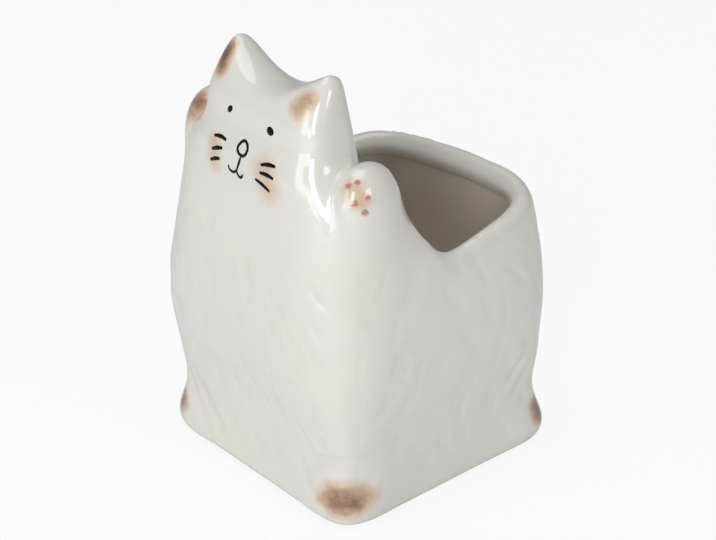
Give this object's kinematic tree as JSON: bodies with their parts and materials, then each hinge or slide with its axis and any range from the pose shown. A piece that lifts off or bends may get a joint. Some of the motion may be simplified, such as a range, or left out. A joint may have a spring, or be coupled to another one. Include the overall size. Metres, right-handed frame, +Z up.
{
  "type": "cat shaped planter",
  "caption": "Glazed ceramic planter shaped like a sitting cat: rounded square pot with open planting hollow, eared head, raised paws, drain hole with pull-out stopper and foot pads.",
  "frame": {"origin": "middle of the footprint on the surface that the pot stands on, at the underside of the foot pads", "axes": "+Z up; the cat faces -Y; +X is to the cat's left"},
  "size_m": [0.1096, 0.1111, 0.1631],
  "materials": {
    "pot_glaze": "glossy ivory glaze with brushed and sponged underglaze colour",
    "stopper_rubber": "matt moulded rubber",
    "pad_foam": "matt soft pad"
  },
  "bodies": {
    "pot": {"cat_pot": "pot_glaze", "foot_pad_front_left": "pad_foam", "foot_pad_front_right": "pad_foam", "foot_pad_rear_left": "pad_foam", "foot_pad_rear_right": "pad_foam"},
    "plug": {"drain_plug": "stopper_rubber"}
  },
  "joints": [
    {"name": "plug_pull", "type": "slide", "parent": "pot", "child": "plug", "axis": [0, 0, -1], "range_m": [0, 0.015]}
  ]
}
